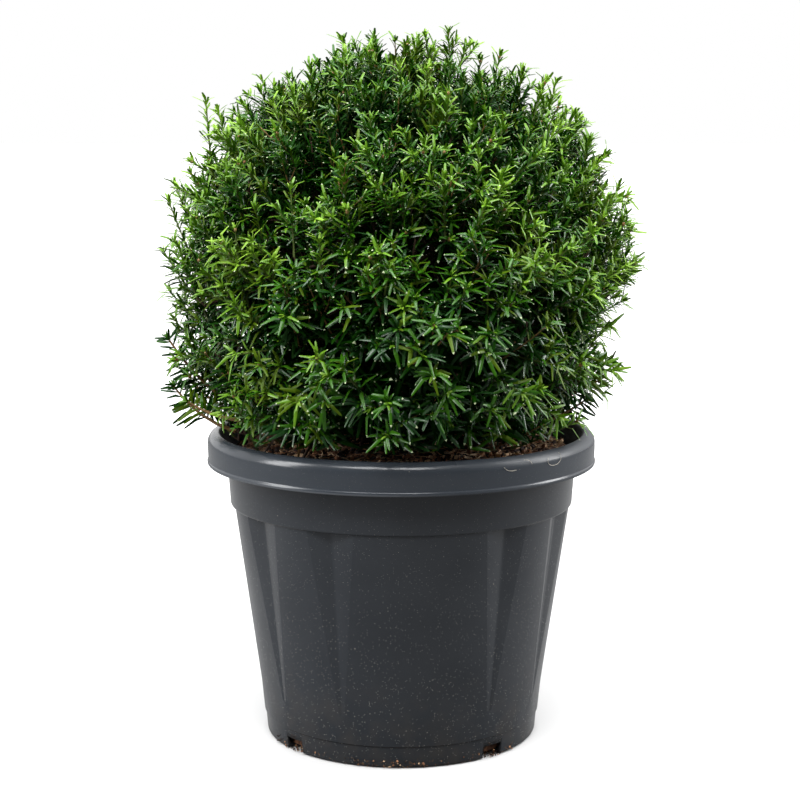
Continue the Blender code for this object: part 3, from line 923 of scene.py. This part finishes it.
def reach(direction):
    """How far the ball's outline lies from the crown's centre in a direction."""
    flat = math.hypot(direction.x, direction.y) / CROWN_RADIUS
    if direction.z >= 0:
        squareness, tall = UPPER_SQUARENESS, direction.z / CROWN_RISE
    else:
        squareness, tall = LOWER_SQUARENESS, -direction.z / CROWN_DROP
    return (flat**squareness + tall**squareness) ** (-1 / squareness)


def walls_of(name):
    others = [h for other, h in headings.items() if other != name] + [-UP]
    return [(h - headings[name]).normalized() for h in others]


def in_space(point, walls, margin):
    out = point - CROWN_CENTRE
    if any(out.dot(wall) > -margin - MASS_GAP / 2 for wall in walls):
        return False
    over_rim = point.z > POT_HEIGHT + margin + 0.001
    inside_rim = math.hypot(out.x, out.y) < RIM_INNER - 0.007 - margin
    return point.z > CROWN_FLOOR - 0.004 + margin and (over_rim or inside_rim)


def lattice(count, turn=0.0):
    """Directions spread evenly over a ball."""
    for i in range(count):
        z = 1 - 2 * (i + 0.5) / count
        level = math.sqrt(1 - z * z)
        angle = i * EVEN_TURN + turn
        yield Vector((level * math.cos(angle), level * math.sin(angle), z))


def strayed(chance, amount):
    return Vector([chance.gauss(0, amount) for _ in range(3)])


def main_tips():
    chance = random.Random(SHOOT_SEED)
    for spot in lattice(SHOOTS):
        out = spot + Vector([chance.uniform(-0.06, 0.06) for _ in range(3)])
        out.normalize()
        yield out, reach(out) * chance.uniform(0.985, 1.055)


def main_shoots(name):
    """(base, tip) of each main shoot of a mass, the same as the source's."""
    direction, walls = headings[name], walls_of(name)
    inward = fork(direction)
    for out, distance in main_tips():
        if max([-UP, *headings.values()], key=out.dot) != direction:
            continue
        for share in (1.0, 0.95, 0.90):
            tip = CROWN_CENTRE + out * distance * share
            base = tip + (inward - tip).normalized() * SHOOT_LENGTH
            if in_space(tip, walls, 0.003) and in_space(base, walls, SHOOT_RADIUS + 0.001):
                yield base, tip
                break


def mass_at(point):
    """The mass that fills the ball at a point, or None where the trunk's own space is."""
    if math.hypot(point.x, point.y) < TRUNK_ROOM and point.z < CROWN_CENTRE.z - 0.030:
        return None
    out = point - CROWN_CENTRE
    return max(headings, key=lambda name: out.dot(headings[name]))


def has_room(point, margin):
    """True where a needle may be: clear of the compost, and inside the rim or above it. Round
    the outside the foliage ends higher, and shows the compost under it."""
    out = math.hypot(point.x, point.y)
    if point.z > POT_HEIGHT + 0.002 + margin:
        return True
    skirt = min(max((out - 0.070) / 0.030, 0.0), 1.0)
    foot = SOIL_LEVEL + 0.003 + 0.015 * skirt
    return point.z > foot + margin and out < RIM_INNER - RIM_CLEARANCE - margin


def sprays_over(chance, count):
    """The middles of the sprays that the ball's shoots gather into, each with how strongly it
    grows and how much of it is olive. The flanks at the left and right and the top come out
    brighter and more olive, and the right half brighter: partly young growth, partly painted
    light."""
    for spot in lattice(count, 1.3):
        middle = (spot + strayed(chance, 0.05)).normalized()
        # painted light: the flanks and the top get brighter, more olive needles, and the right
        # half brighter ones, where the side lamps and the overhead bank light the ball; partly
        # young growth too
        edge = max(0.0, abs(middle.x) - 0.50) + 0.5 * max(0.0, middle.z - 0.50)
        vigour_and_light = chance.gauss(0.165, 0.15) + 0.40 * edge + 0.15 * max(0.0, middle.x)
        yield middle, vigour_and_light, 0.75 if chance.random() < 0.08 + 0.6 * edge else 0.14


sprays = list(sprays_over(random.Random(77), SPRAYS))


def spray_at(out):
    return max(sprays, key=lambda spray: out.dot(spray[0]))


def tips_within(chance, count, turn, stray, nearest, farthest):
    """Tips of shoots spread over the ball, between two shares of its reach. They draw together
    by sprays, highest in the middle, and the ball is a little slack low on its right."""
    for spot in lattice(count, turn):
        out = (spot + strayed(chance, stray)).normalized()
        middle = spray_at(out)[0]
        apart = min((out - middle).length / SPRAY_REACH, 1.0)
        out = out.lerp(middle, SPRAY_PULL).normalized()
        share = chance.uniform(nearest, farthest) - TOP_SLACK * max(0.0, out.z)
        share += SPRAY_DOME * (0.5 - apart)
        slack = max(0.0, out.x - 0.55) * min(max((0.15 - out.z) / 0.40, 0.0), 1.0)
        yield CROWN_CENTRE + out * reach(out) * (share - RIGHT_SLACK * slack)


def low_tips(chance, count):
    """Tips of the shaded shoots that close the ball's underside round the trunk."""
    for i in range(count):
        turn, out = i * EVEN_TURN, chance.uniform(0.045, 0.118)
        z = chance.uniform(0.222, 0.285)
        yield Vector((out * math.cos(turn), out * math.sin(turn), z))


# shoots that stand out of the ball's outline, by the places of their tips (x, z) in millimetres
PROUD_TIPS = (
    (17, 500), (33, 503), (45, 494), (56, 484), (70, 487), (84, 471), (108, 468), (120, 446),
    (124, 444), (129, 425), (142, 400), (158, 383), (164, 365), (163, 340), (156, 315),
    (147, 291), (-18, 496), (-34, 491), (-43, 482), (-58, 480), (-76, 470), (-82, 464),
    (-90, 456), (-94, 450), (-109, 438), (-120, 442), (-131, 448), (-139, 455), (-151, 404),
    (-160, 397), (-163, 386), (-168, 350), (-166, 320), (-163, 300), (-150, 262), (-146, 240),
)

# the combed sprays that reach out over the rim at both sides (foot, middle and tip: x, y, z)
COMBED_SPRAYS = (
    ((-118, -26, 224), (-146, -22, 232), (-162, -16, 254)),
    ((-132, -14, 250), (-150, -10, 262), (-167, -4, 287)),
    ((-112, -52, 236), (-136, -44, 238), (-150, -38, 247)),
    ((-126, 20, 232), (-146, 24, 240), (-158, 26, 258)),
    ((100, -22, 229), (116, -18, 234), (131, -14, 244)),
    ((108, 6, 240), (126, 4, 246), (143, 0, 257)),
    ((108, -30, 250), (129, -26, 261), (147, -20, 274)),
)

# and the foremost shoots of the front, by their tips (x, y, z)
FRONT_TIPS = (
    (-37, -150, 284), (-18, -146, 260), (19, -144, 255), (13, -162, 295), (-2, -159, 312),
    (-15, -150, 300), (-53, -143, 275), (-54, -125, 240), (-71, -119, 243), (58, -134, 256),
    (29, -147, 269), (65, -112, 236), (-8, -163, 350), (41, -154, 337), (9, -156, 331),
    (55, -149, 307), (-100, -97, 245), (96, -83, 238), (-36, -141, 415), (49, -138, 412),
    (-52, -150, 366),
)


def proud_tips(chance):
    for x, z in PROUD_TIPS:
        yield Vector((x / 1000, chance.uniform(-0.022, 0.022), z / 1000))


def lowness(point):
    """0 on the upper half of the ball, and up to 1 low down, where needles are longer and
    sparser, most of all at the front and back."""
    out = (point - CROWN_CENTRE).normalized()
    return min(max((0.34 - out.z) / 0.58, 0.0), 1.0) * (1 - 0.55 * out.x**2)


def growing_way(tip, chance):
    """The way a shoot points: outwards and upwards."""
    out = (tip - CROWN_CENTRE).normalized()
    lift = (1.35 - 0.70 * lowness(tip)) * (1 - 0.3 * abs(out.z))
    return (out * 0.80 + UP * lift + strayed(chance, 0.20)).normalized()


def grow_twig(branches, tip, way, length):
    """Joins a shoot to the nearest wood that already grows nearer to the fork, by a bent twig.
    Returns the shoot's own curve."""
    base = tip - way * length
    depth = (base - branches[0]).length
    nearer = [p for p in branches if (p - branches[0]).length < depth - 0.006] or branches[:1]
    root = min(nearer, key=lambda p: (p - base).length)
    bend = base - way * (base - root).length * 0.5
    branches.append(root.lerp(base, 0.5))
    branches.append(base.copy())
    return (root, bend, base), (base, base.lerp(tip, 0.5) - UP * length * 0.05, tip)


# how thick the wood is that leads to each kind of shoot, and how thick the shoot's own stem is
BRANCH_RADIUS = 0.0017
TWIG_RADIUS = {"outer": 0.0012, "inner": 0.0015, "comb": 0.0013}
SHOOT_STEM_RADIUS = {"outer": 0.00088, "side": 0.00064, "inner": 0.0011, "comb": 0.0014}
# the main shoots under this height stay within this distance to the right
RIGHT_SKIRT_TOP = 0.310
RIGHT_SKIRT = 0.144

chance = random.Random(2024)
twigs = {name: [] for name in headings}
shoots = {name: [] for name in headings}
wood = {}
for name, direction in headings.items():
    start = gate(name, direction)
    inside = fork(direction)
    twigs[name].append(((start, start.lerp(inside, 0.5), inside), MASS_STEM_RADIUS))
    wood[name] = [inside]
    for base, tip in main_shoots(name):
        way = (tip - inside).normalized()
        bend = inside.lerp(base, 0.5) - UP * 0.006
        twigs[name].append(((inside, bend, base), BRANCH_RADIUS))
        wood[name] += [inside.lerp(base, share) for share in (0.35, 0.7, 1.0)]
        tip = base + (way * 0.8 + UP * 0.3).normalized() * (tip - base).length
        if tip.z < RIGHT_SKIRT_TOP:
            tip.x = min(tip.x, RIGHT_SKIRT)
        shoots[name].append(((base, base.lerp(tip, 0.5) - UP * 0.002, tip), "outer"))


def along_curve(curve, t):
    """The place and the direction at a share of a curve of three points."""
    a, b, c = curve
    return a.lerp(b, t).lerp(b.lerp(c, t), t), (b - a).lerp(c - b, t).normalized()


def side_shoots(curve, chance):
    """Short shoots that leave a longer one on both sides, wide at its foot and closer above."""
    turn = chance.uniform(0, math.tau)
    for i in range(chance.randint(1, 3) - round(lowness(curve[2]))):
        t = chance.uniform(0.18, 0.80)
        base, along = along_curve(curve, t)
        out = Quaternion(along, turn + i * math.radians(150)) @ along.orthogonal().normalized()
        way = (along + out * chance.uniform(0.7, 1.2) + UP * 0.2).normalized()
        tip = base + way * chance.uniform(0.012, 0.026) * (1.15 - 0.5 * t)
        off = tip - CROWN_CENTRE
        if has_room(tip, 0.004) and off.length < reach(off.normalized()) * 1.04:
            yield base, base.lerp(tip, 0.5) - UP * 0.001, tip


def add_shoots(tips, kind, shortest, longest, thinned=0.0):
    """Grows shoots to the tips. Low on the ball some are left out, by the share thinned."""
    for tip in tips:
        name, low = mass_at(tip), lowness(tip)
        if name is None or not has_room(tip, 0.006):
            continue
        if chance.random() < thinned * low:
            continue
        way = growing_way(tip, chance)
        twig, curve = grow_twig(wood[name], tip, way, chance.uniform(shortest, longest))
        twigs[name].append((twig, TWIG_RADIUS[kind]))
        shoots[name].append((curve, kind))
        if kind == "outer":
            shoots[name] += [(side, "side") for side in side_shoots(curve, chance)]


add_shoots(tips_within(chance, 260, 4.1, 0.06, 0.34, 0.56), "inner", 0.025, 0.040)
add_shoots(low_tips(chance, 150), "inner", 0.025, 0.040)
add_shoots(tips_within(chance, 300, 5.3, 0.06, 0.82, 0.93), "inner", 0.030, 0.045)
add_shoots(tips_within(chance, 560, 2.2, 0.06, 0.60, 0.86), "inner", 0.035, 0.055)
add_shoots(tips_within(chance, 760, 0.9, 0.035, 0.88, 1.045), "outer", 0.034, 0.056, 0.30)
add_shoots(proud_tips(chance), "outer", 0.045, 0.060)
add_shoots([Vector(place) / 1000 for place in FRONT_TIPS], "outer", 0.038, 0.052)
for spray in COMBED_SPRAYS:
    foot, middle, tip = (Vector(place) / 1000 for place in spray)
    name = mass_at(foot)
    root = min(wood[name], key=lambda p: (p - foot).length)
    twigs[name].append(((root, foot - (middle - foot) * 0.6, foot), TWIG_RADIUS["comb"]))
    shoots[name].append(((foot, middle, tip), "comb"))


def needle_blade(stations):
    """A flat needle with a raised midrib: a three-cornered disc extruded along its length, with
    its far end drawn out to a point. Each station is a share of the length and a width."""
    bm = bmesh.new()
    outline = [bm.verts.new(place) for place in ((-0.5, 0, 0), (0.5, 0, 0), (0, 0, 0.5))]
    cap = bm.faces.new(outline)
    share, width = stations[0]
    bmesh.ops.scale(bm, vec=(width, 1, width), verts=bm.verts)
    for next_share, next_width in stations[1:]:
        cap = next_disc(bm, cap, share == 0)
        bmesh.ops.translate(bm, vec=(0, next_share - share, 0), verts=cap.verts)
        bmesh.ops.scale(bm, vec=(next_width / width, 1, next_width / width), verts=cap.verts)
        share, width = next_share, next_width
    bmesh.ops.poke(bm, faces=[cap])["verts"][0].co = (0, 1.0, 0)
    bmesh.ops.recalc_face_normals(bm, faces=bm.faces)
    return taken_from(bm)


LONG_NEEDLE = needle_blade(((0, 0.32), (0.42, 1.0), (0.945, 0.52)))
CURVED_NEEDLE = needle_blade(((0, 0.45), (0.45, 1.0), (0.91, 0.72)))
HIDDEN_NEEDLE = needle_blade(((0, 0.60), (0.90, 0.90)))

# each green's colour, roughness and shine, from the heart of the ball to its tips. The darker
# greens are older needles and painted shade deep in the ball and low down; the last is a
# painted highlight, the glint at a needle's tip
SHADED, OLD_SHADED, BLUE, GREEN, OLIVE, FRESH, TIP, GLINT = range(8)
needle_finishes = [
    plain_finish("shaded_needle", (0.003, 0.020, 0.0006), 0.50, 0.03),
    plain_finish("old_shaded_needle", (0.006, 0.040, 0.001), 0.34, 0.05),
    plain_finish("blue_green_needle", (0.015, 0.062, 0.012), 0.27, 0.46),
    plain_finish("green_needle", (0.028, 0.112, 0.003), 0.27, 0.34),
    plain_finish("olive_needle", (0.066, 0.122, 0.004), 0.34, 0.14),
    plain_finish("fresh_needle", (0.096, 0.220, 0.008), 0.31, 0.32),
    plain_finish("tip_needle", (0.188, 0.350, 0.026), 0.38, 0.24),
    plain_finish("painted_glint", (0.450, 0.530, 0.310), 0.40, 0.20),
]

# how far apart the needles stand on each kind of shoot, and how long its longest may be
NEEDLE_SIZES = {
    "outer": (0.00116, 0.0118, 0.0208),
    "side": (0.00122, 0.0104, 0.0148),
    "inner": (0.0028, 0.0180, 0.0250),
    "comb": (0.0023, 0.0150, 0.0172),
}
# and how much light and growth gives a needle each green
OLD_FROM, GREEN_FROM, FRESH_FROM, TIP_FROM = 0.10, 0.42, 0.80, 1.10
HIDDEN_OLD_FROM = 0.20
COMB_FACE = Vector((0.25, -1, 0.30)).normalized()
LOWER_LONGER = 0.44
NEEDLE_WIDTH = 0.00118
WIDTH_BY_LENGTH = 0.062
THICKNESS = 0.42
GLINT_SHARE = 0.25


def needles_up(curve, kind, low):
    """(foot, way, the shoot's own way, size, share of the shoot) of each needle that spirals up
    a shoot, and the turn the spiral starts with. They are longest low down, stand out widely
    there and close in towards the tip, and on a level or combed shoot they part to its two
    sides."""
    spacing, least, most = NEEDLE_SIZES[kind]
    longest = chance.triangular(least, most, least + 0.30 * (most - least))
    longest *= 1 + LOWER_LONGER * low
    gappy = chance.choices((0.9, 1.15, 2.0), (5, 4, 1.6))[0] * (1 + 0.85 * low)
    count = int((curve[2] - curve[0]).length / spacing / (1 if kind == "comb" else gappy))
    turn = chance.uniform(0, math.tau)
    parting = 0.90 if kind == "comb" else chance.uniform(0.25, 0.75)
    face = COMB_FACE if kind == "comb" else UP
    found = []
    for i in range(count):
        t = 0.06 + 0.94 * (i + chance.uniform(-0.3, 0.3)) / count
        t = min(max(t, 0.02), 1.0)
        centre, along = along_curve(curve, t)
        side = along.cross(face)
        side = side.normalized() if side.length > 0.05 else Vector((1, 0, 0))
        lifted = side.cross(along)
        angle = turn + i * GOLDEN_TURN + chance.gauss(0, 0.25)
        if kind == "comb":
            angle = i * math.pi + chance.gauss(0, 0.15)
        level = 1 - abs(along.dot(face))
        out = side * math.cos(angle) + lifted * math.sin(angle) * (1 - parting * level)
        out = (out + lifted * 0.15 * level).normalized()
        spread = math.radians(62 + 18 * low - (30 - 8 * low) * t**1.5) + chance.gauss(0, 0.15)
        way = along * math.cos(spread) + out * math.sin(spread)
        size = longest * (0.80 + 0.45 * t if t < 0.35 else 0.97 - 0.42 * (t - 0.35) / 0.65)
        found.append((centre, way, along, size * chance.uniform(0.82, 1.12), t))
    return found, turn


def needles_at_tip(tip, along, turn, low):
    """The tuft that ends a shoot: a star of spread needles, then a few short ones in its eye."""
    found = []
    star = chance.randint(2, 3) + round(4 * low)
    for i in range(star + chance.randint(3, 4)):
        angle = turn + i * GOLDEN_TURN * 1.02
        side = along.orthogonal().normalized() if abs(along.z) > 0.99 else along.cross(UP)
        side.normalize()
        out = side * math.cos(angle) + side.cross(along) * math.sin(angle)
        if i < star:
            spread = math.radians(chance.uniform(36, 66) + 12 * low)
            size, t = chance.uniform(0.0088, 0.0134) * (1 + 0.35 * low), 1.0 - 0.35 * low
        else:
            spread = math.radians(chance.uniform(10, 32))
            size, t = chance.uniform(0.0054, 0.0082), 1.25
        way = along * math.cos(spread) + out * math.sin(spread)
        found.append((tip, way, along, size, t))
    return found


def needle_green(shade, kind, olive, low):
    """The finish that suits how much light and growth a needle has."""
    if kind == "inner":
        return GREEN if shade > GREEN_FROM else OLD_SHADED if shade > HIDDEN_OLD_FROM else SHADED
    if shade > TIP_FROM:
        return TIP
    if shade > FRESH_FROM:
        return FRESH
    if shade > GREEN_FROM:
        return OLIVE if chance.random() < olive else GREEN
    if shade > OLD_FROM:
        return BLUE if chance.random() < 0.35 + 0.35 * low else OLD_SHADED
    return SHADED


def needles_on(curve, kind, vigour_and_light, olive):
    """(curve, top, width and thickness, finish) of every needle on a shoot. They arch a little,
    hang more the lower they are, and none runs into the pot or the compost."""
    low, combed = lowness(curve[2]), kind == "comb"
    found, turn = needles_up(curve, kind, low)
    if kind != "inner":
        found += needles_at_tip(curve[2], found[-1][2], turn, low)
    rows = []
    for centre, way, along, size, t in found:
        end = centre + (way - UP * (0.05 + 0.13 * low)) * size
        if not has_room(end, 0.001):
            continue
        top = (COMB_FACE if combed else along * 0.75 + UP * 0.45) + strayed(chance, 0.22)
        side = way.cross(top).normalized()
        arch = 0.20 if combed else chance.gauss(0.16 + 0.05 * low, 0.09)
        bend = centre + way * size * 0.5 + side.cross(way) * size * arch
        bend += side * size * chance.gauss(0, 0.09)
        width = (NEEDLE_WIDTH + WIDTH_BY_LENGTH * size) * (1 + 0.22 * low)
        width *= chance.uniform(0.88, 1.12)
        # painted shade: needles deep in the ball and low down take darker greens, on top of the
        # darker green of older growth
        off = centre - CROWN_CENTRE
        depth = min(off.length / reach(off.normalized()), 1.03)
        shade = 3.0 * (depth - 0.90) + 0.42 * t + vigour_and_light + chance.gauss(0, 0.06)
        shade -= 0.20 * low if t < 1 else 0.02 * low
        finish = needle_green(shade, kind, olive, low)
        rows.append(((centre, bend, end), top, (width, width * THICKNESS), finish))
    return rows


TWIG = strand(4, 4, lambda share: 1.0 - 0.35 * share)
SHOOT_STEM = strand(4, 5, lambda share: 1.0 - 0.5 * share)
twig_finishes = [
    plain_finish("woody_twig", (0.060, 0.031, 0.016), 0.8),
    plain_finish("orange_twig", (0.190, 0.105, 0.032), 0.65),
    plain_finish("green_twig", (0.072, 0.105, 0.016), 0.5),
]
WOODY, ORANGE, YOUNG = range(3)


def batch_of(shape, rows):
    points, faces = shape
    curves, tops, widths, finishes = (np.array([row[i] for row in rows]) for i in range(4))
    return laid_along(points, curves, tops, widths), faces, finishes


def with_points(shape, rows):
    """A batch of needles, many of which end in a small pale point: a painted highlight, the glint
    at a needle's tip.
    """
    points, faces, finishes = batch_of(shape, rows)
    each = np.repeat(finishes[:, None], len(faces), axis=1)
    ends = [i for i, face in enumerate(faces) if shape[0][face, 1].max() > 0.99]
    # painted highlight: the far end of these needles takes a pale glint colour
    pale = [chance.random() < GLINT_SHARE and finish != SHADED for finish in finishes]
    each[np.ix_(pale, ends)] = GLINT
    return points, faces, each


SHOOT_TOP = (0.3, 0.2, 1.0)
BUDDED_SHARE = 0.22

buds = []
for name in headings:
    rows_of = {"long": [], "curved": [], "hidden": []}
    stem_rows = []
    vigour_and_light = olive = 0.25
    for curve, kind in shoots[name]:
        if kind != "side":
            _, vigour_and_light, olive = spray_at((curve[2] - CROWN_CENTRE).normalized())
            vigour_and_light += chance.gauss(0, 0.09) - (0.50 if kind == "comb" else 0)
        long = kind == "comb" or kind == "outer" and lowness(curve[2]) > 0.25
        blade = "long" if long else "hidden" if kind == "inner" else "curved"
        rows_of[blade] += needles_on(curve, kind, vigour_and_light, olive)
        finish = WOODY if kind == "inner" else (YOUNG if vigour_and_light > 0.12 else ORANGE)
        stem_rows.append((curve, SHOOT_TOP, [SHOOT_STEM_RADIUS[kind]] * 2, finish))
        if kind != "inner" and chance.random() < BUDDED_SHARE:
            size = chance.triangular(0.7, 1.45, 0.9)
            buds.append((curve[2], (curve[2] - curve[1]).normalized(), size))
    twig_rows = [(curve, SHOOT_TOP, [radius] * 2, WOODY) for curve, radius in twigs[name]]
    blades = zip((LONG_NEEDLE, CURVED_NEEDLE, HIDDEN_NEEDLE), rows_of.values())
    batches = [with_points(blade, rows) for blade, rows in blades if rows]
    needles = joined_copies(f"{name}_needles", batches, needle_finishes)
    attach(needles, "root")
    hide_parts(name)
    batches = [batch_of(SHOOT_STEM, stem_rows), batch_of(TWIG, twig_rows)]
    twig_piece = joined_copies(f"{name}_twigs", batches, twig_finishes)
    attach(twig_piece, "root")


# Buds sit at the ends of many shoots, among the last needles: blunt, scaly and orange-brown.
# Each is about two millimetres wide and a little longer, and comes in one of two colours.
bud_shape = bmesh.new()
bmesh.ops.create_icosphere(bud_shape, subdivisions=2, radius=1)
bmesh.ops.scale(bud_shape, vec=(1, 1, 1.25), verts=bud_shape.verts)
bud_points, bud_faces = taken_from(bud_shape)
bud_copies, bud_slots = [], []
for place, way, size in buds:
    turn = np.array(UP.rotation_difference(way).to_matrix())
    bud_copies.append((bud_points * size * 0.001) @ turn.T + np.array(place + way * 0.0008))
    bud_slots.append(chance.randrange(2))
bud_finishes = [
    plain_finish("orange_bud", (0.260, 0.130, 0.046), 0.6),
    plain_finish("tan_bud", (0.310, 0.190, 0.072), 0.6),
]
bud_batch = (np.array(bud_copies), bud_faces, np.array(bud_slots))
bud_piece = joined_copies("buds", [bud_batch], bud_finishes)
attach(bud_piece, "root")
